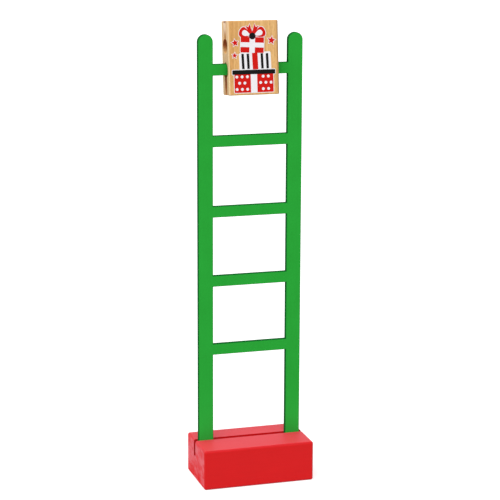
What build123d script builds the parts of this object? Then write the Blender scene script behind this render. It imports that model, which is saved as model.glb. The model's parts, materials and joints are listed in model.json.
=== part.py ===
from build123d import *
import os
from math import cos, hypot, radians, sin, sqrt

# A tumbling ladder toy: a wooden block tumbles end over end down the rungs of a flat ladder, which
# stands in a groove in a heavy base. All sizes are millimetres. The origin is at the centre of the
# base's underside, X runs across the ladder, -Y is the front and Z is up.

# Ladder, cut in one piece from a sheet
sheet = 3.3
ladder_width = 65.2
stile_width = 9.25
rung_count = 5
rung_height = 6.85
rung_pitch = 43.0
first_rung = 57.8  # height of the lowest rung's centre over the base's top
stile_reach = 21.2  # height of the stiles' tips over the top rung's centre
sheet_ease = 0.35  # sanded edge of the sheet

# Base block
base_overhang = 2.4  # how far the base stands out past each stile
base_depth = 40.2
base_height = 24.9
base_ease = 1.3
groove_depth = 10.2
groove_play = 0.15  # gap on each face of the ladder in the groove
ladder_setback = 3.1  # how far the ladder stands behind the middle of the base

# Tumbler block
side_gap = 7.8  # gap between the tumbler and each stile
hole_inset = 14.85  # centre of each round hole from its own end of the block
hole_spacing = 14.4  # distance between the centres of the two holes
turning_room = 0.7  # how much larger the hole's radius is than the rung's half diagonal
seat_gap = 0.08  # running gap between the rung's top corners and the hole
slot_play = 0.8  # how much wider a slot is than the sheet is thick
cheek = 2.5  # wood left in front of and behind each hole
tumbler_ease = 0.8
tumbler_shift = 0.45  # how far along the rung the tumbler has slid
lean_back = 5.6  # degrees that the standing tumbler leans back, about to go over

# Sizes that follow
base_width = ladder_width + 2 * base_overhang
window_width = ladder_width - 2 * stile_width
ladder_foot = base_height - groove_depth
bottom_rung = base_height + first_rung
top_rung = bottom_rung + (rung_count - 1) * rung_pitch
tip_centre = top_rung + stile_reach - stile_width / 2
hole_radius = hypot(sheet / 2, rung_height / 2) + turning_room
slot_width = sheet + slot_play
tumbler_width = window_width - 2 * side_gap
tumbler_thickness = 2 * (hole_radius + cheek)
tumbler_height = 2 * hole_inset + hole_spacing

# The rung carries the block by its two top corners, so the hole's centre hangs this far below its own
hole_drop = sqrt((hole_radius - seat_gap) ** 2 - (sheet / 2) ** 2) - rung_height / 2

# The sheet's middle plane, seen from the front: its X is the toy's X and its Y is height
ladder_plane = Plane(origin=(0, ladder_setback, 0), x_dir=(1, 0, 0), z_dir=(0, -1, 0))

# The tumbler's cross section: its origin is the centre of the lower hole, which is the axis that the
# block turns about, and its Y runs up the leaning block
lean = radians(lean_back)
tumbler_plane = Plane(
    origin=(tumbler_shift, ladder_setback, top_rung - hole_drop),
    x_dir=(0, cos(lean), -sin(lean)),
    z_dir=(1, 0, 0),
)
tumbler_middle = hole_spacing / 2

os.makedirs("parts", exist_ok=True)

# Base block: eased on every edge, then grooved from end to end with a saw
with BuildPart() as base_block:
    Box(base_width, base_depth, base_height, align=(Align.CENTER, Align.CENTER, Align.MIN))
    fillet(base_block.edges(), base_ease)
    with BuildSketch(Plane.XY.offset(base_height)):
        with Locations((0, ladder_setback)):
            Rectangle(2 * base_width, sheet + 2 * groove_play)
    extrude(amount=-groove_depth, mode=Mode.SUBTRACT)

base_block.part.label = "base_block"
export_step(base_block.part, "parts/base_block.step")

# Ladder: one outline for both stiles and every rung, with full-round tips on the stiles
with BuildPart() as ladder:
    with BuildSketch(ladder_plane):
        with GridLocations(ladder_width - stile_width, 0, 2, 1):
            with Locations((0, ladder_foot)):
                Rectangle(stile_width, tip_centre - ladder_foot, align=(Align.CENTER, Align.MIN))
            with Locations((0, tip_centre)):
                Circle(stile_width / 2)
        with Locations((0, (bottom_rung + top_rung) / 2)):
            with GridLocations(0, rung_pitch, 1, rung_count):
                Rectangle(ladder_width - stile_width, rung_height)
    extrude(amount=sheet / 2, both=True)
    faces_of_the_sheet = ladder.faces().filter_by(Axis.Y)
    fillet(faces_of_the_sheet.edges(), sheet_ease)

ladder.part.label = "ladder"
export_step(ladder.part, "parts/ladder.step")

# Tumbler: a plain block, eased on every edge, with a keyhole cut through it at each end
with BuildPart() as tumbler:
    with BuildSketch(tumbler_plane):
        with Locations((0, tumbler_middle)):
            Rectangle(tumbler_thickness, tumbler_height)
    extrude(amount=tumbler_width / 2, both=True)
    fillet(tumbler.edges(), tumbler_ease)
    with BuildSketch(tumbler_plane):
        with Locations((0, tumbler_middle)):
            with GridLocations(0, hole_spacing, 1, 2):
                Circle(hole_radius)
            with GridLocations(0, hole_spacing + hole_inset, 1, 2):
                Rectangle(slot_width, hole_inset)
    extrude(amount=tumbler_width, both=True, mode=Mode.SUBTRACT)

tumbler.part.label = "tumbler"
export_step(tumbler.part, "parts/tumbler.step")
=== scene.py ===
import json
from math import asin, cos, pi, radians, sin

import bmesh
import bpy
from mathutils import Matrix, Vector


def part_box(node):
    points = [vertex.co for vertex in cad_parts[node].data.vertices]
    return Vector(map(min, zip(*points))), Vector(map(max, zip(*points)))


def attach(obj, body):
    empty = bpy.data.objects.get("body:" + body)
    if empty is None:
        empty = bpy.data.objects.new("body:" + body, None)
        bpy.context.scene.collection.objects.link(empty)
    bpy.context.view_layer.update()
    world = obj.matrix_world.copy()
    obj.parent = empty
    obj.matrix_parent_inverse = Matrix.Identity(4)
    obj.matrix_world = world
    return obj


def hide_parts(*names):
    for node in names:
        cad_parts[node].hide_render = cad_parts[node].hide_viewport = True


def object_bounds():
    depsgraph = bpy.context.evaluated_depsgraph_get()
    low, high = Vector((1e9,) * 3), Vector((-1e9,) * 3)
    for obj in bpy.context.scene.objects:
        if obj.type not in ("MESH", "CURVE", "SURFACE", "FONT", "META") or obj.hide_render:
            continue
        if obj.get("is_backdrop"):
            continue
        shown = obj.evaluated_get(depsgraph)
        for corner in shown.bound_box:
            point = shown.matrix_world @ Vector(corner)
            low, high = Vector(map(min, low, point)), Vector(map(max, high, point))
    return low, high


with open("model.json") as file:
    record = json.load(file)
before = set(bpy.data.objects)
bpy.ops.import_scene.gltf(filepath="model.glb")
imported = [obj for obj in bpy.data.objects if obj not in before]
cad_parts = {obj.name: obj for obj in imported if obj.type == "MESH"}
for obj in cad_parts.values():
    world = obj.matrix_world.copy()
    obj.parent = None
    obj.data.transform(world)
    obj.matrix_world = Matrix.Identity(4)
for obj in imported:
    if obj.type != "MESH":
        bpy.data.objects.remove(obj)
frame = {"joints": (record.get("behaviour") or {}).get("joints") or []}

# The tumbling ladder toy: a red base, a green ladder and the bare wooden block that tumbles down it.
# Everything is in metres in the model's own frame, with the toy's front towards -Y.

MM = 0.001
weld_gap = 0.01 * MM
sharp_corner = radians(35)
cad_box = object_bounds()

# Places read from the model
base_low, base_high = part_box("base_block")
ladder_low, ladder_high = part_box("ladder")
tumbler_low, tumbler_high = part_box("tumbler")
pivot = Vector(frame["joints"][0]["pos_m"])  # centre of the tumbler's lower hole

# Base block
base_ease = 1.3 * MM
base_ease_steps = 6
groove_play = 0.08 * MM
mouth_reach = 1.0 * MM  # how far in from the stiles' outer edges the groove's mouths get painted shade
dull_height = 14.0 * MM  # how far up its ends the gloss has sunk in most

# Ladder
rung_count = 5
rung_pitch = 43.0 * MM
rung_height = 6.85 * MM
first_rung = base_high.z + 57.8 * MM
stile_width = 9.25 * MM
sheet_ease = 0.35 * MM
sheet_ease_steps = 3
tip_steps = 25
painted_light_height = 40.0 * MM  # how far above the base the green is painted lighter, as painted light

# Tumbler, in its own frame: X across, Y from front to back, Z up the leaning block from the lower hole
block_wide = tumbler_high.x - tumbler_low.x
block_deep = 14.0 * MM
block_tall = 44.1 * MM
block_ease = 0.8 * MM
block_ease_steps = 5
hole_radius = 4.5 * MM
hole_inset = 14.85 * MM
hole_spacing = block_tall - 2 * hole_inset
slot_width = 4.1 * MM
hole_ease = 0.25 * MM
hole_steps = 44
lean_back = radians(5.6)
block_place = Matrix.Translation(pivot) @ Matrix.Rotation(-lean_back, 4, "X")

# Print on the tumbler's front, in the plane of that face and from its middle. The inks lie over each
# other, so each has its own height above the wood.
face_place = block_place @ Matrix.Translation((0, -block_deep / 2, hole_spacing / 2))
ink_root = -0.01 * MM
undercoat_top = 0.03 * MM
colour_top = 0.055 * MM
detail_top = 0.08 * MM
top_ink = 0.1 * MM
ink_step = 0.0005 * MM
ink_spread = 0.35  # how far the white undercoat shows past each colour, in millimetres
corner_steps = 4
dot_steps = 14

# Middles of the three parcels, in millimetres on that face, and how far they are turned, in degrees
lower_parcel_at = (-0.2, -14.8)
middle_parcel_at = (0.8, -2.0)
middle_parcel_turn = 2
upper_parcel_at = (-0.8, 7.6)
upper_parcel_turn = -3

# Grain of the wood: its rings go round a heart to the left of the block and behind it
heart_aside = 24.0 * MM
heart_behind = 36.0 * MM
ring_wander = 9.0 * MM
ring_fineness = 560.0
pore_fineness = (2400.0, 2400.0, 80.0)

# Marks on the wood, each from one end of its smooth step to the other: across the block from its middle,
# and in the holes and slots outwards from the nearer hole's centre. The band across is painted shade
# along the right edge, the holes and slots get painted shade, the upper slot painted light, and its mouth
# a darker mark.
painted_shade_across = (13.9 * MM, 15.2 * MM)
bore_shade_span = (-3.5 * MM, 1.5 * MM)
slot_shade_span = (8.0 * MM, 14.0 * MM)
upper_slot_light_span = (5.0 * MM, 11.0 * MM)
dark_mouth = (13.2 * MM, 14.2 * MM)

# How deep the grain stands in each finish
gloss_relief = 0.06 * MM
satin_relief = 0.05 * MM
wood_relief = 0.06 * MM
ink_relief = 0.03 * MM

# Camera, as it stood for the photograph
camera_azimuth = radians(-16.89)
camera_elevation = radians(12.63)
camera_roll = radians(0.21)
camera_distance = 1.1056
camera_aim = Vector((0.0004, 0.00295, 0.1436))
camera_lens = 130.3
camera_film = 36  # its width in millimetres

# Light and floor
room_light = 0.46
floor_light = 0.53
floor_grey = 0.7
floor_reach = 6.0
lamp_light = 2.65
lamp_azimuth = radians(-50)
lamp_elevation = radians(60)
lamp_breadth = radians(70)


class Value:
    """A node's output. Arithmetic on it adds the Math nodes that work it out."""

    def __init__(self, tree, socket):
        self.tree = tree
        self.socket = socket

    def math(self, operation, *others):
        inputs = dict(enumerate((self, *others)))
        return self.tree.node("ShaderNodeMath", {"operation": operation}, inputs)

    def turned(self, operation, other):
        return self.tree.node("ShaderNodeMath", {"operation": operation}, {0: other, 1: self})

    def __add__(self, other):
        return self.math("ADD", other)

    def __radd__(self, other):
        return self.turned("ADD", other)

    def __sub__(self, other):
        return self.math("SUBTRACT", other)

    def __rsub__(self, other):
        return self.turned("SUBTRACT", other)

    def __mul__(self, other):
        return self.math("MULTIPLY", other)

    def __rmul__(self, other):
        return self.turned("MULTIPLY", other)

    def __truediv__(self, other):
        return self.math("DIVIDE", other)

    def __floordiv__(self, other):
        return self.math("DIVIDE", other).math("FLOOR")

    def __mod__(self, other):
        return self.math("MODULO", other)

    def __pow__(self, other):
        return self.math("POWER", other)

    def __lt__(self, other):
        return self.math("LESS_THAN", other)

    def __gt__(self, other):
        return self.math("GREATER_THAN", other)

    def __abs__(self):
        return self.math("ABSOLUTE")


class Tree:
    """A node tree under construction."""

    def __init__(self, node_tree):
        self.node_tree = node_tree

    def find(self, sockets, key):
        if isinstance(key, int):
            return sockets[key]
        exact = [socket for socket in sockets if socket.identifier == key]
        return (exact or [socket for socket in sockets if socket.name == key])[0]

    def node(self, kind, settings=None, values=None, output=0):
        made = self.node_tree.nodes.new(kind)
        for name, setting in (settings or {}).items():
            setattr(made, name, setting)
        for key, value in (values or {}).items():
            socket = self.find(made.inputs, key)
            for each in value if isinstance(value, list) else [value]:
                if isinstance(each, Value):
                    self.node_tree.links.new(each.socket, socket)
                else:
                    socket.default_value = each
        return Value(self, self.find(made.outputs, output)) if made.outputs else None

    def vector(self, x=0.0, y=0.0, z=0.0):
        return self.node("ShaderNodeCombineXYZ", values={0: x, 1: y, 2: z})


class Finish(Tree):
    """A material under construction."""

    def __init__(self, name):
        self.material = bpy.data.materials.new(name)
        self.material.use_nodes = True
        super().__init__(self.material.node_tree)
        self.node_tree.nodes.clear()

    def place(self):
        return self.node("ShaderNodeTexCoord", output="Object")

    def part_of(self, vector, axis):
        return self.node("ShaderNodeSeparateXYZ", values={0: vector}, output=axis)

    def facing(self, axis):
        """How squarely the surface faces along an axis, either way, from 0 to 1."""
        return abs(self.part_of(self.node("ShaderNodeTexCoord", output="Normal"), axis))

    def rounded(self):
        """How far the surface has turned from the flat sides, from 0 to 1 on an eased edge."""
        flat = self.facing("X").math("MAXIMUM", self.facing("Y")).math("MAXIMUM", self.facing("Z"))
        return self.between(flat, 0.75, 0.98, 1.0, 0.0)

    def noise(self, vector, fineness=1.0, detail=2.0, roughness=0.5):
        values = {"Vector": vector, "Scale": fineness, "Detail": detail, "Roughness": roughness}
        return self.node("ShaderNodeTexNoise", values=values, output="Fac")

    def grain(self, vector, fineness, detail=2.0, roughness=0.5):
        """Noise that has its own fineness along each axis."""
        sockets = {0: vector, 1: fineness}
        squeezed = self.node("ShaderNodeVectorMath", {"operation": "MULTIPLY"}, sockets)
        return self.noise(squeezed, 1.0, detail, roughness)

    def between(self, value, low, high, to_low=0.0, to_high=1.0):
        """A smooth step, from to_low where value is low to to_high where it is high."""
        ends = {"From Min": low, "From Max": high, "To Min": to_low, "To Max": to_high}
        smooth = {"interpolation_type": "SMOOTHSTEP"}
        return self.node("ShaderNodeMapRange", smooth, {"Value": value, **ends})

    def mix(self, share, first, second):
        values = {"Factor_Float": share, "A_Color": first, "B_Color": second}
        return self.node("ShaderNodeMix", {"data_type": "RGBA"}, values, "Result_Color")

    def stained(self, tone, *stains):
        """The tone with stains laid over it in turn, each given by its mask, its strength and colour."""
        for mask, strength, colour in stains:
            tone = self.mix(mask * strength, tone, colour)
        return tone

    def bump(self, height, depth, strength=1.0):
        values = {"Strength": strength, "Distance": depth, "Height": height}
        return self.node("ShaderNodeBump", values=values)

    def skin(self, sockets):
        return self.node("ShaderNodeBsdfPrincipled", values=sockets)

    def surface(self, skin):
        self.node("ShaderNodeOutputMaterial", values={"Surface": skin})
        return self.material


class Rule(Tree):
    """A Geometry Nodes tree under construction, with a named input for each size that it works from."""

    def __init__(self, name, sizes):
        super().__init__(bpy.data.node_groups.new(name, "GeometryNodeTree"))
        interface = self.node_tree.interface
        self.sizes = {}
        for size, value in sizes.items():
            kind = "NodeSocketInt" if isinstance(value, int) else "NodeSocketFloat"
            socket = interface.new_socket(size, in_out="INPUT", socket_type=kind)
            self.sizes[socket.identifier] = value
        interface.new_socket("Geometry", in_out="OUTPUT", socket_type="NodeSocketGeometry")
        self.entry = self.node_tree.nodes.new("NodeGroupInput")

    def size(self, name):
        return Value(self, self.find(self.entry.outputs, name))

    def geometry(self, kind, values=None, **settings):
        return self.node("GeometryNode" + kind, settings, values)

    def thickened(self, flat, depth):
        """Flat faces that face the front, drawn back along Y into a closed solid."""
        offset = self.vector(y=depth)
        values = {"Mesh": flat, "Offset": offset, "Individual": False}
        drawn = self.geometry("ExtrudeMesh", values)
        back = self.geometry("FlipFaces", {"Mesh": drawn})
        both = self.geometry("JoinGeometry", {"Geometry": [flat, back]})
        return self.geometry("MergeByDistance", {"Geometry": both, "Distance": weld_gap})

    def made(self, name, geometry, material):
        """The finished rule, worked out into an object with a plain mesh."""
        real = self.geometry("RealizeInstances", {"Geometry": geometry})
        dressed = self.geometry("SetMaterial", {"Geometry": real, "Material": material})
        self.node("NodeGroupOutput", values={0: dressed})
        piece = new_object(name)
        modifier = piece.modifiers.new(name, "NODES")
        modifier.node_group = self.node_tree
        for identifier, value in self.sizes.items():
            modifier[identifier] = value
        return settled(piece)


def paint(red, green, blue):
    """A colour given as it shows on a screen, from 0 to 255, as linear light."""
    shares = [part / 255 for part in (red, green, blue)]
    linear = [s / 12.92 if s <= 0.04045 else ((s + 0.055) / 1.055) ** 2.4 for s in shares]
    return (*linear, 1.0)


# Red paint
red_dark = paint(210, 4, 8)
# Painted reflection: a paler pink laid on the faces that face up or down
red_light = paint(226, 10, 14)
# Painted light: a lighter red laid on the sawn ends
red_painted_reflection_top = paint(232, 38, 52)
# Painted shade: a darker red laid on the eased edges
red_painted_light_ends = paint(238, 4, 0)
# Painted shade: a darker red laid at the groove's mouths
red_painted_shade_edges = paint(150, 0, 8)
red_painted_shade_mouths = paint(110, 0, 10)
red_sheen = paint(240, 222, 244)

# Green paint
green_dark = paint(37, 159, 50)
green_light = paint(43, 174, 60)
# Painted light: a lighter green laid on the stiles near the base, against the shade there
green_painted_light_foot = paint(52, 192, 70)
# Painted shade: the cut edges' darker green, with the plies showing in it
shaded_cut_green_dark = paint(6, 86, 32)
shaded_cut_green_light = paint(12, 104, 40)

# Wood
ring_dark = paint(222, 165, 98)
ring_light = paint(243, 196, 128)
wood_cloud = paint(240, 198, 136)
wood_fibre = paint(184, 132, 72)
wood_fleck = paint(190, 146, 80)
wood_pore = paint(158, 108, 60)
# Painted shade: a darker band along the block's right edge
wood_painted_shade_band = paint(150, 102, 58)
# Paler tone on the side faces: partly the side grain's own tone, partly a painted glancing reflection
wood_sides_and_painted_glare = paint(230, 206, 176)
# Painted shade: a darker tone on the eased edges
wood_painted_shade_edge = paint(172, 136, 100)
# Painted highlight: a pale tone on the upright edges at the left
wood_painted_highlight_edge = paint(248, 218, 176)
# Painted shade: the darker walls of the holes and slots
wood_painted_shade_hollow = paint(164, 84, 44)
# Painted light: the lighter walls of the upper slot
wood_painted_light_slot = paint(254, 234, 208)
wood_mouth = paint(150, 88, 60)

# Printing inks
ink_white = paint(244, 242, 246)
ink_red = paint(212, 22, 14)
ink_black = paint(10, 9, 10)


def red_gloss():
    """Gloss red over solid wood, painted darker on the eased edges as painted shade. The grain just shows:
    along X on the long faces, and as a mottle on the sawn ends, where the gloss sinks in and goes dull.
    The top and underside get a paler pink as painted reflection, and the ends a lighter red as painted
    light. The groove is a little darker at its mouths, as painted shade."""
    finish = Finish("red_gloss")
    place = finish.place()
    across, deep, tall = [finish.part_of(place, axis) for axis in "XYZ"]
    sawn_end = finish.facing("X")
    end_face = finish.between(sawn_end, 0.8, 0.95)
    streaks = finish.grain(place, (60.0, 900.0, 900.0), 4.0, 0.6)
    mottle = finish.grain(place, (300.0, 100.0, 200.0), 3.0, 0.6)
    blotch = finish.between(mottle, 0.38, 0.62) * end_face
    grain = streaks + sawn_end * (mottle - streaks)
    clouds = finish.noise(place, 45.0)
    peel = finish.noise(place, 1500.0, 1.0)

    # The last stretch of the groove, from the stile out to the end of the base: its mouths get painted
    # shade
    groove_middle = (ladder_low.y + ladder_high.y) / 2
    half_groove = (ladder_high.y - ladder_low.y) / 2 + 1.5 * groove_play
    in_groove = (abs(deep - groove_middle) < half_groove) * (tall > ladder_low.z - groove_play)
    mouth = in_groove * finish.between(abs(across), ladder_high.x - mouth_reach, ladder_high.x)

    tone = finish.stained(
        finish.mix(grain * 0.5 + clouds * 0.5, red_dark, red_light),
        # painted reflection on the top and underside
        (finish.facing("Z"), 0.5, red_painted_reflection_top),
        # painted light on the sawn ends
        (sawn_end, 0.2, red_painted_light_ends),
        # painted shade on the eased edges
        (finish.rounded(), 0.35, red_painted_shade_edges),
        # painted shade at the groove's mouths
        (mouth, 0.3, red_painted_shade_mouths),
    )
    relief = finish.bump(grain * 0.8 + peel * 0.2, gloss_relief, 0.5)
    gloss = finish.skin(
        {
            "Base Color": tone,
            "Roughness": 0.48 + clouds * 0.08,
            "Specular IOR Level": 0.24,
            "Sheen Weight": 0.64,
            "Sheen Roughness": 0.35,
            "Sheen Tint": red_sheen,
            "Normal": relief,
        }
    )
    dull = finish.skin(
        {"Base Color": tone, "Roughness": 0.7, "Specular IOR Level": 0.1, "Normal": relief}
    )
    low = finish.between(tall, 0.0, dull_height, 1.0, 0.0)
    sunk = end_face * (0.12 + low * 0.3) + blotch * 0.55
    return finish.surface(finish.node("ShaderNodeMixShader", values={0: sunk, 1: gloss, 2: dull}))


def green_satin():
    """Satin green over plywood: even on the faces but painted lighter near the base as painted light. The
    cut edges drink the paint in, go duller and let the plies show, and are painted darker as painted
    shade."""
    finish = Finish("green_satin")
    place = finish.place()
    cut_edge = finish.between(finish.facing("Y"), 0.85, 0.995, 1.0, 0.0)
    fibres = finish.grain(place, (900.0, 900.0, 50.0), 3.0, 0.6)
    plies = finish.grain(place, (60.0, 2400.0, 60.0))
    clouds = finish.noise(place, 70.0)
    height = finish.part_of(place, "Z") - base_high.z
    painted_light_near_base = finish.between(height, 0.0, painted_light_height, 1.0, 0.0)
    face = finish.stained(
        finish.mix(clouds * 0.7 + fibres * 0.3, green_dark, green_light),
        # painted light near the base
        (painted_light_near_base, 0.5, green_painted_light_foot),
    )
    edge = finish.mix(plies, shaded_cut_green_dark, shaded_cut_green_light)
    satin = finish.skin(
        {
            "Base Color": finish.mix(cut_edge, face, edge),
            "Roughness": 0.5 + cut_edge * 0.3 + fibres * 0.1,
            "Specular IOR Level": 0.06,
            "Normal": finish.bump(fibres * 0.5 + plies * cut_edge, satin_relief, 0.5),
        }
    )
    return finish.surface(satin)


def bare_wood():
    """Bare sanded wood: growth rings about a heart behind the block, and fine fibres and pores along the
    grain.
    The walls of the holes and slots get painted shade, darkest in the lower slot, and the upper slot
    painted light. The eased edges get painted shade, the left upright edges a painted highlight, the right
    edge a band of painted shade, and the paler sides are partly a painted glancing reflection."""
    finish = Finish("bare_wood")
    lean = {"Location": pivot, "Rotation": (-lean_back, 0.0, 0.0)}
    values = {"Vector": finish.place(), **lean}
    local = finish.node("ShaderNodeMapping", {"vector_type": "TEXTURE"}, values)
    across, deep, tall = [finish.part_of(local, axis) for axis in "XYZ"]

    # Growth rings, which wander a little about the heart
    wander = finish.grain(local, (40.0, 40.0, 12.0))
    from_heart_x = across + heart_aside + wander * ring_wander
    from_heart_y = deep - heart_behind
    ring = (from_heart_x * from_heart_x + from_heart_y * from_heart_y) ** 0.5
    bands = finish.noise(finish.vector(ring * ring_fineness, tall * 6.0, 3.0), 1.0, 3.0, 0.65)
    fibres = finish.grain(local, (1300.0, 1300.0, 70.0), 3.0, 0.6)
    pores = finish.grain(local, pore_fineness, 2.0, 0.7)
    flecks = finish.grain(local, (1000.0, 1000.0, 420.0), 2.0, 0.6)
    clouds = finish.grain(local, (110.0, 110.0, 14.0))
    painted_shade_band = finish.between(across, *painted_shade_across)
    rounded = finish.rounded()
    upright_edge = rounded * finish.between(finish.facing("Z"), 0.15, 0.4, 1.0, 0.0)

    # Distance from the centre of the nearer hole: outwards to its end of the block, and straight across
    outwards = abs(tall - hole_spacing / 2) - hole_spacing / 2
    from_centre = (deep * deep + outwards * outwards) ** 0.5
    bored = from_centre < hole_radius + hole_ease / 2
    slotted = (abs(deep) < slot_width / 2 + hole_ease / 2) * (outwards > 0.0)
    lower_end = tall < 0.0
    upper_slot = slotted * (tall > 0.0)
    # Painted light in the upper slot, which opens upwards
    lit_upper_slot = upper_slot * finish.between(outwards, *upper_slot_light_span)
    mouth = upper_slot * finish.between(outwards, *dark_mouth)
    # Painted shade on the walls of the holes and slots, darkest in the lower slot, which faces down
    bore_shade = bored * finish.between(outwards, *bore_shade_span)
    slot_shade = slotted * (0.3 + lower_end * 0.6)
    slot_shade = slot_shade * finish.between(outwards, *slot_shade_span, 1.0, 0.6)
    hollow_shade = bore_shade.math("MAXIMUM", slot_shade).math("MINIMUM", 0.95)

    tone = finish.stained(
        finish.mix(finish.between(bands, 0.34, 0.66), ring_dark, ring_light),
        (finish.between(clouds, 0.4, 0.75), 0.4, wood_cloud),
        (finish.between(fibres, 0.42, 0.66), 0.4, wood_fibre),
        (finish.between(flecks, 0.46, 0.7), 0.4, wood_fleck),
        (finish.between(pores, 0.6, 0.8), 0.35, wood_pore),
        # painted shade along the right edge
        (painted_shade_band, 0.75, wood_painted_shade_band),
        # paler sides, partly a painted glancing reflection
        (finish.facing("X"), 0.35, wood_sides_and_painted_glare),
        # painted shade on the eased edges
        (rounded, 0.4, wood_painted_shade_edge),
        # painted highlight on the left upright edges
        (upright_edge * (across < 0.0), 0.9, wood_painted_highlight_edge),
        # painted shade in the holes and slots
        (hollow_shade, 1.0, wood_painted_shade_hollow),
        # painted light in the upper slot
        (lit_upper_slot, 0.85, wood_painted_light_slot),
        (mouth, 0.8, wood_mouth),
    )
    relief = finish.bump(bands * 0.3 + fibres * 0.3 + pores * 0.4, wood_relief, 0.5)
    wood = {"Base Color": tone, "Roughness": 0.6, "Specular IOR Level": 0.25, "Normal": relief}
    return finish.surface(finish.skin(wood))


def print_ink(name, colour):
    """Printed ink, so thin that the wood's pores show through it."""
    finish = Finish(name)
    pores = finish.grain(finish.place(), pore_fineness, 2.0, 0.7)
    worn = (*[part * 0.86 for part in colour[:3]], 1.0)
    tone = finish.stained(colour, (finish.between(pores, 0.55, 0.8), 0.6, worn))
    relief = finish.bump(pores, ink_relief, 0.4)
    ink = {"Base Color": tone, "Roughness": 0.5, "Specular IOR Level": 0.12, "Normal": relief}
    return finish.surface(finish.skin(ink))


def new_object(name):
    made = bpy.data.objects.new(name, bpy.data.meshes.new(name))
    bpy.context.scene.collection.objects.link(made)
    return made


def settled(piece):
    """Works the piece's modifiers out into a plain mesh, and removes them."""
    bpy.context.view_layer.update()
    worked_out = piece.evaluated_get(bpy.context.evaluated_depsgraph_get())
    mesh = bpy.data.meshes.new_from_object(worked_out)
    piece.modifiers.clear()
    piece.data = mesh
    return piece


def take_form(piece, form):
    """Gives the piece the faces of a bmesh, all of them outwards."""
    bmesh.ops.recalc_face_normals(form, faces=form.faces)
    form.to_mesh(piece.data)
    form.free()


def shade(piece):
    """Smooth over the eased edges, flat on the faces between them, and sharp at what corners are left."""
    piece.data.polygons.foreach_set("use_smooth", [True] * len(piece.data.polygons))
    piece.data.set_sharp_from_angle(angle=sharp_corner)
    shading = piece.modifiers.new("flat_faces", "WEIGHTED_NORMAL")
    shading.keep_sharp = True


def ease_edges(piece, width, steps, share):
    """Rounds each edge to its own share of the width, into a plain mesh."""
    form = bmesh.new()
    form.from_mesh(piece.data)
    weight = form.edges.layers.float.new("bevel_weight_edge")
    for edge in form.edges:
        edge[weight] = share(edge)
    take_form(piece, form)
    rounding = piece.modifiers.new("eased_edges", "BEVEL")
    rounding.width = width
    rounding.segments = steps
    rounding.limit_method = "WEIGHT"
    return settled(piece)


def prism(name, outline, low, high, material):
    """A closed outline in the YZ plane, drawn out along X."""
    form = bmesh.new()
    face = form.faces.new([form.verts.new((low, y, z)) for y, z in outline])
    drawn = bmesh.ops.extrude_face_region(form, geom=[face], use_keep_orig=True)
    moved = [item for item in drawn["geom"] if isinstance(item, bmesh.types.BMVert)]
    bmesh.ops.translate(form, verts=moved, vec=(high - low, 0, 0))
    piece = new_object(name)
    take_form(piece, form)
    piece.data.materials.append(material)
    return piece


def upright_outline(low_y, low_z, high_y, high_z):
    """A rectangle in the YZ plane, from its low corner to its high one."""
    return [(low_y, low_z), (high_y, low_z), (high_y, high_z), (low_y, high_z)]


def make_base():
    """The base: a block eased on every edge, then sawn from end to end for the ladder to stand in."""
    red = red_gloss()
    block = upright_outline(base_low.y, base_low.z, base_high.y, base_high.z)
    piece = prism("base", block, base_low.x, base_high.x, red)
    ease_edges(piece, base_ease, base_ease_steps, lambda edge: 1.0)
    front = ladder_low.y - groove_play
    back = ladder_high.y + groove_play
    groove = upright_outline(front, ladder_low.z, back, 2 * base_high.z)
    saw_path = prism("saw_path", groove, 2 * base_low.x, 2 * base_high.x, red)
    sawing = piece.modifiers.new("groove", "BOOLEAN")
    sawing.operation = "DIFFERENCE"
    sawing.object = saw_path
    shade(settled(piece))
    bpy.data.objects.remove(saw_path)
    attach(piece, "stand")
    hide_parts("base_block")


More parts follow.
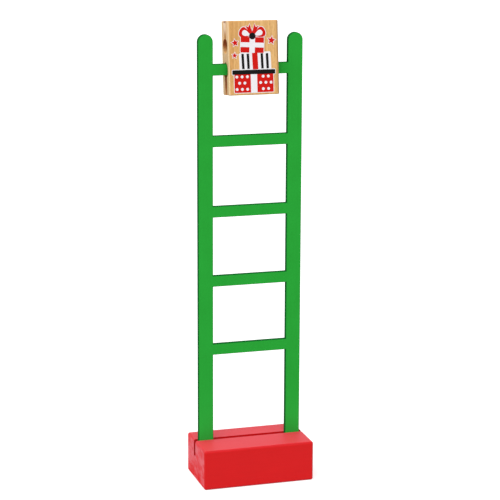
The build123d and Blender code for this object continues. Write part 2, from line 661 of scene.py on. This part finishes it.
def make_ladder():
    """The ladder as a rule: a grid whose two outer columns are the stiles, and whose rows are window and
    rung by turns. The windows come out, a half-round tip goes on each stile, and the sheet gets its
    thickness."""
    rule = Rule(
        "ladder_rule",
        {
            "Width": ladder_high.x - ladder_low.x,
            "Stile Width": stile_width,
            "Foot": ladder_low.z,
            "Tip": ladder_high.z,
            "Rung Count": rung_count,
            "First Rung": first_rung,
            "Rung Pitch": rung_pitch,
            "Rung Height": rung_height,
            "Front": ladder_low.y,
            "Sheet": ladder_high.y - ladder_low.y,
        },
    )
    stile = rule.size("Stile Width")
    front = rule.size("Front")
    half_width = rule.size("Width") / 2.0
    shoulder = rule.size("Tip") - stile / 2.0
    columns = 4
    rows = rule.size("Rung Count") * 2.0 + 2.0
    grid = rule.geometry("MeshGrid", {"Vertices X": rows, "Vertices Y": columns})

    # Where the grid's points go, by their column and row
    point = rule.geometry("InputIndex")
    row = point // columns
    column = point % columns
    side = (column > 1.5) * 2.0 - 1.0
    inner = abs(column - 1.5) < 1.0
    x = side * (half_width - inner * stile)
    rung = (row - 1.0) // 2.0
    upper_edge = (row - 1.0) % 2.0
    rung_edge = rule.size("First Rung") + rung * rule.size("Rung Pitch")
    rung_edge = rung_edge + (upper_edge - 0.5) * rule.size("Rung Height")
    at_foot = row < 0.5
    at_shoulder = row > rows - 1.5
    at_rung = 1.0 - at_foot - at_shoulder
    z = rung_edge * at_rung + rule.size("Foot") * at_foot + shoulder * at_shoulder
    placed = {"Geometry": grid, "Position": rule.vector(x, front, z)}
    sheet = rule.geometry("SetPosition", placed)

    # Which of its faces are windows
    face = rule.geometry("InputIndex")
    middle_column = abs(face % (columns - 1) - 1.0) < 0.5
    window_row = (face // (columns - 1)) % 2.0 < 0.5
    windows = {"Geometry": sheet, "Selection": middle_column * window_row}
    sheet = rule.geometry("DeleteGeometry", windows, domain="FACE")

    # The stiles' tips
    half_round = {"Resolution": tip_steps, "Radius": stile / 2.0, "Sweep Angle": pi}
    arc = rule.geometry("CurveArc", half_round)
    closed = rule.geometry("SetSplineCyclic", {"Geometry": arc, "Cyclic": True})
    tip = rule.geometry("FillCurve", {"Curve": closed}, mode="NGONS")
    upright = (pi / 2, 0.0, 0.0)
    stile_middle = half_width - stile / 2.0
    left = {"Translation": rule.vector(stile_middle * -1.0, front, shoulder)}
    right = {"Translation": rule.vector(stile_middle, front, shoulder)}
    tips = [
        rule.geometry("Transform", {"Geometry": tip, "Rotation": upright, **place})
        for place in (left, right)
    ]
    sheet = rule.geometry("JoinGeometry", {"Geometry": [sheet, *tips]})
    sheet = rule.geometry("MergeByDistance", {"Geometry": sheet, "Distance": weld_gap})
    solid = rule.thickened(sheet, rule.size("Sheet"))
    piece = rule.made("ladder_sheet", solid, green_satin())

    def share(edge):
        """All of it round the sheet's two faces, none elsewhere."""
        flat = [abs(face.normal.y) > 0.5 for face in edge.link_faces]
        return 1.0 if any(flat) and not all(flat) else 0.0

    shade(ease_edges(piece, sheet_ease, sheet_ease_steps, share))
    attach(piece, "stand")
    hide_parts("ladder")


def make_tumbler():
    """The tumbler: a block eased on every edge, with a keyhole through it at each end. Each hole opens to
    its end through a slot, so that one outline goes round the block and both holes."""
    half_deep = block_deep / 2
    half_slot = slot_width / 2
    slot_angle = asin(half_slot / hole_radius)
    lower_half = [(-half_deep, -hole_inset), (-half_slot, -hole_inset)]
    for step in range(hole_steps + 1):
        angle = -pi / 2 - slot_angle - (2 * pi - 2 * slot_angle) * step / hole_steps
        lower_half.append((hole_radius * cos(angle), hole_radius * sin(angle)))
    lower_half += [(half_slot, -hole_inset), (half_deep, -hole_inset)]
    outline = lower_half + [(-y, hole_spacing - z) for y, z in lower_half]
    piece = prism("tumbler_block", outline, -block_wide / 2, block_wide / 2, bare_wood())

    def share(edge):
        """All of it on the block's own edges, less round the holes and slots, none inside them."""
        first, second = [vert.co for vert in edge.verts]
        if max(abs(first.y), abs(second.y)) > half_deep - weld_gap:
            return 1.0
        inside = abs(first.x - second.x) > block_wide / 2
        at_end = abs(first.z - hole_spacing / 2) > block_tall / 2 - weld_gap
        return hole_ease / block_ease if at_end or not inside else 0.0

    shade(ease_edges(piece, block_ease, block_ease_steps, share))
    piece.data.transform(block_place)
    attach(piece, "tumbler")
    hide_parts("tumbler")


def placed_outline(outline, middle, turn=0.0):
    """An outline in millimetres, turned about its own middle and put on the face."""
    x, z = middle
    bearing = radians(turn)
    return [
        (x + px * cos(bearing) - pz * sin(bearing), z + px * sin(bearing) + pz * cos(bearing))
        for px, pz in outline
    ]


def panel(middle, wide, tall, turn=0.0, corner=0.5):
    """A round-cornered rectangle."""
    outline = []
    for quarter in range(4):
        way = radians(45 + 90 * quarter)
        to_side = (wide / 2 - corner) * (1 if cos(way) > 0 else -1)
        to_end = (tall / 2 - corner) * (1 if sin(way) > 0 else -1)
        for step in range(corner_steps + 1):
            angle = radians(90 * quarter + 90 * step / corner_steps)
            outline.append((to_side + corner * cos(angle), to_end + corner * sin(angle)))
    return placed_outline(outline, middle, turn)


def disc(middle, radius, steps=28):
    angles = [2 * pi * step / steps for step in range(steps)]
    return placed_outline([(radius * cos(angle), radius * sin(angle)) for angle in angles], middle)


def bow_loop(knot, reach, fat, turn, steps=40):
    """One loop of a bow, from its knot outwards."""
    outline = []
    for step in range(1, steps):
        angle = 2 * pi * step / steps
        swell = (1 - cos(angle)) / 2
        outline.append((reach * swell, -fat * sin(angle) * swell))
    return placed_outline(outline, knot, turn)


def ribbon_tail(knot, reach, wide, turn):
    """A loose end of ribbon, cut to two points."""
    half = wide / 2
    outline = [(0, -half * 0.6), (reach, -half), (reach - half, 0), (reach, half), (0, half * 0.6)]
    return placed_outline(outline, knot, turn)


def star(middle, radius, turn, points=5, waist=0.45):
    outline = []
    for step in range(2 * points):
        angle = pi / 2 + pi * step / points
        reach = radius if step % 2 == 0 else radius * waist
        outline.append((reach * cos(angle), reach * sin(angle)))
    return placed_outline(outline, middle, turn)


def spread(outline, margin, least=0.5):
    """A counter-clockwise outline grown by an even margin, and by less at a very sharp corner."""
    grown = []
    for index, corner in enumerate(outline):
        here = Vector(corner)
        along = (here - Vector(outline[index - 1])).normalized()
        onward = (Vector(outline[(index + 1) % len(outline)]) - here).normalized()
        first, second = Vector((along.y, -along.x)), Vector((onward.y, -onward.x))
        grown.append(here + (first + second) * (margin / max(1 + first.dot(second), least)))
    return grown


def stamp(form, outline, top):
    """Lays ink on the tumbler's face inside an outline."""
    for height in (ink_root, top):
        verts = [form.verts.new((x * MM, -height, z * MM)) for x, z in outline]
        face = form.faces.new(verts)
        if height == ink_root:
            rim = verts
    for index in range(len(rim)):
        after = (index + 1) % len(rim)
        form.faces.new((rim[index], rim[after], verts[after], verts[index]))


def print_piece(name, colour, stamps):
    """Ink of one colour: outlines in millimetres on the face, each with the height of its top."""
    form = bmesh.new()
    for order, (outline, top) in enumerate(stamps):
        stamp(form, outline, top + order * ink_step)
    piece = new_object(name)
    take_form(piece, form)
    piece.data.materials.append(print_ink(name, colour))
    piece.data.transform(face_place)
    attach(piece, "tumbler")


def make_print():
    """The print on the tumbler's front: three parcels in a stack, tied with ribbon."""
    lower_parcel = panel(lower_parcel_at, 24.2, 11.4)
    lid = panel((-0.2, -8.4), 26.6, 2.6, 0, 0.4)
    middle_parcel = panel(middle_parcel_at, 19.0, 9.8, middle_parcel_turn)
    ribbon = panel(middle_parcel_at, 3.4, 9.8, middle_parcel_turn, 0.2)
    middle_x, middle_z = middle_parcel_at
    stripes = [
        panel((middle_x + aside, middle_z), 1.5, 9.0, middle_parcel_turn, 0.2)
        for aside in (-7.56, -4.32, 4.32, 7.56)
    ]
    upper_parcel = panel(upper_parcel_at, 14.4, 9.2, upper_parcel_turn)
    bow = [
        bow_loop((-0.6, 12.6), 8.6, 4.8, 24),
        bow_loop((-0.6, 12.6), 8.6, 4.8, 156),
        ribbon_tail((-0.6, 13.0), 7.0, 2.8, 66),
        ribbon_tail((-0.6, 13.0), 7.0, 2.8, 114),
    ]
    knot = disc((-0.6, 12.8), 2.0)
    stars = [star((-11.4, 9.0), 2.3, 8), star((11.2, 10.0), 2.6, -10), star((-11.8, 1.6), 1.8, -6)]
    reds = [lower_parcel, upper_parcel, ribbon, *bow, *stars]
    blacks = [lid, *stripes, knot]
    whites = [
        panel(lower_parcel_at, 4.0, 11.4, 0, 0.1),
        panel(upper_parcel_at, 3.4, 9.2, upper_parcel_turn, 0.1),
        panel(upper_parcel_at, 14.4, 2.8, upper_parcel_turn, 0.1),
        bow_loop((-0.1, 12.9), 6.2, 2.6, 24),
        bow_loop((-1.1, 12.9), 6.2, 2.6, 156),
    ]
    undercoats = [spread(outline, ink_spread) for outline in [*reds, *blacks, middle_parcel]]
    white_stamps = [(outline, undercoat_top) for outline in undercoats]
    white_stamps += [(outline, detail_top) for outline in whites]
    print_piece("print_white", ink_white, white_stamps)
    print_piece("print_red", ink_red, [(outline, colour_top) for outline in reds])
    print_piece("print_black", ink_black, [(outline, top_ink) for outline in blacks])
    make_dots()


def make_dots():
    """White dots on the lower parcel's paper, in staggered rows that leave its ribbon clear."""
    rule = Rule(
        "dots_rule",
        {
            "Width": 21.2 * MM,
            "Height": 7.4 * MM,
            "Columns": 7,
            "Rows": 3,
            "Dot Radius": 0.88 * MM,
            "Ribbon": 6.4 * MM,
            "Film": detail_top - ink_root,
        },
    )
    columns = rule.size("Columns")
    rows = rule.size("Rows")
    grid = rule.geometry("MeshGrid", {"Vertices X": columns, "Vertices Y": rows})
    point = rule.geometry("InputIndex")
    column = point // rows
    row = point % rows
    pitch = rule.size("Width") / (columns - 0.5)
    aside = (column - (columns - 1.0) / 2.0 + (row % 2.0) * 0.5 - 0.25) * pitch
    up = (row - (rows - 1.0) / 2.0) * rule.size("Height") / (rows - 1.0)
    placed = {"Geometry": grid, "Position": rule.vector(aside, 0.0, up)}
    spots = rule.geometry("SetPosition", placed)
    circle = {"Vertices": dot_steps, "Radius": rule.size("Dot Radius")}
    dot = rule.geometry("MeshCircle", circle, fill_type="NGON")
    dot = rule.geometry("Transform", {"Geometry": dot, "Rotation": (pi / 2, 0.0, 0.0)})
    dot = rule.thickened(dot, rule.size("Film"))
    clear_of_ribbon = abs(aside) > rule.size("Ribbon") / 2.0
    spread_out = {"Points": spots, "Instance": dot, "Selection": clear_of_ribbon}
    dots = rule.geometry("InstanceOnPoints", spread_out)
    piece = rule.made("print_dots", dots, bpy.data.materials["print_white"])
    form = bmesh.new()
    form.from_mesh(piece.data)
    take_form(piece, form)
    x, z = lower_parcel_at
    piece.data.transform(face_place @ Matrix.Translation((x * MM, -detail_top, z * MM)))
    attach(piece, "tumbler")


def bearing_at(azimuth, elevation):
    """The direction from the toy out to what stands at that azimuth and elevation."""
    level = cos(elevation)
    return Vector((sin(azimuth) * level, -cos(azimuth) * level, sin(elevation)))


def stand_facing(name, data, aim, bearing, distance, roll=0.0):
    """Stands a camera or a lamp off from the aim, and turns it towards that."""
    made = bpy.data.objects.new(name, data)
    bpy.context.scene.collection.objects.link(made)
    look = (-bearing).to_track_quat("-Z", "Y").to_matrix().to_4x4()
    made.matrix_world = (
        Matrix.Translation(aim + bearing * distance) @ look @ Matrix.Rotation(roll, 4, "Z")
    )
    return made


def aim_camera():
    """Stands the camera where the photograph was taken from."""
    data = bpy.data.cameras.new("camera")
    data.lens = camera_lens
    data.sensor_width = camera_film
    bearing = bearing_at(camera_azimuth, camera_elevation)
    bpy.context.scene.camera = stand_facing(
        "camera", data, camera_aim, bearing, camera_distance, camera_roll
    )


def light_studio():
    """A white room, a large soft lamp from the front left, and a white floor that keeps the shadow."""
    white = (1.0, 1.0, 1.0, 1.0)
    world = bpy.data.worlds.new("white_room")
    world.use_nodes = True
    world.node_tree.nodes.clear()
    bpy.context.scene.world = world
    tree = Tree(world.node_tree)
    camera_ray, glossy_ray, transmission_ray = [
        tree.node("ShaderNodeLightPath", output=f"Is {kind} Ray")
        for kind in ("Camera", "Glossy", "Transmission")
    ]
    seen = camera_ray.math("MAXIMUM", glossy_ray).math("MAXIMUM", transmission_ray)
    soft = tree.node("ShaderNodeBackground", values={"Color": white, "Strength": room_light})
    plain = tree.node("ShaderNodeBackground", values={"Color": white, "Strength": 1.0})
    both = tree.node("ShaderNodeMixShader", values={0: seen, 1: soft, 2: plain})
    tree.node("ShaderNodeOutputWorld", values={"Surface": both})

    lamp = bpy.data.lights.new("softbox", "SUN")
    lamp.energy = lamp_light
    lamp.angle = lamp_breadth
    stand_facing("softbox", lamp, Vector(), bearing_at(lamp_azimuth, lamp_elevation), 1.0)

    finish = Finish("white_floor")
    shown = finish.node("ShaderNodeLightPath", output="Is Camera Ray")
    glow = finish.mix(shown, (0.0, 0.0, 0.0, 1.0), (floor_light, floor_light, floor_light, 1.0))
    grey = (floor_grey, floor_grey, floor_grey, 1.0)
    sockets = {"Base Color": grey, "Roughness": 0.9, "Specular IOR Level": 0.0}
    finish.surface(finish.skin({**sockets, "Emission Color": glow, "Emission Strength": 1.0}))
    floor = new_object("floor")
    form = bmesh.new()
    corners = [(-1, -1), (1, -1), (1, 1), (-1, 1)]
    form.faces.new([form.verts.new((x * floor_reach, y * floor_reach, 0.0)) for x, y in corners])
    form.to_mesh(floor.data)
    form.free()
    floor.data.materials.append(finish.material)
    floor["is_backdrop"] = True


aim_camera()
light_studio()
make_base()
make_ladder()
make_tumbler()
make_print()

bpy.context.scene.view_settings.view_transform = "Standard"
boxes = {"cad": cad_box, "visual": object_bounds()}
{name: [list(corner) for corner in box] for name, box in boxes.items()}
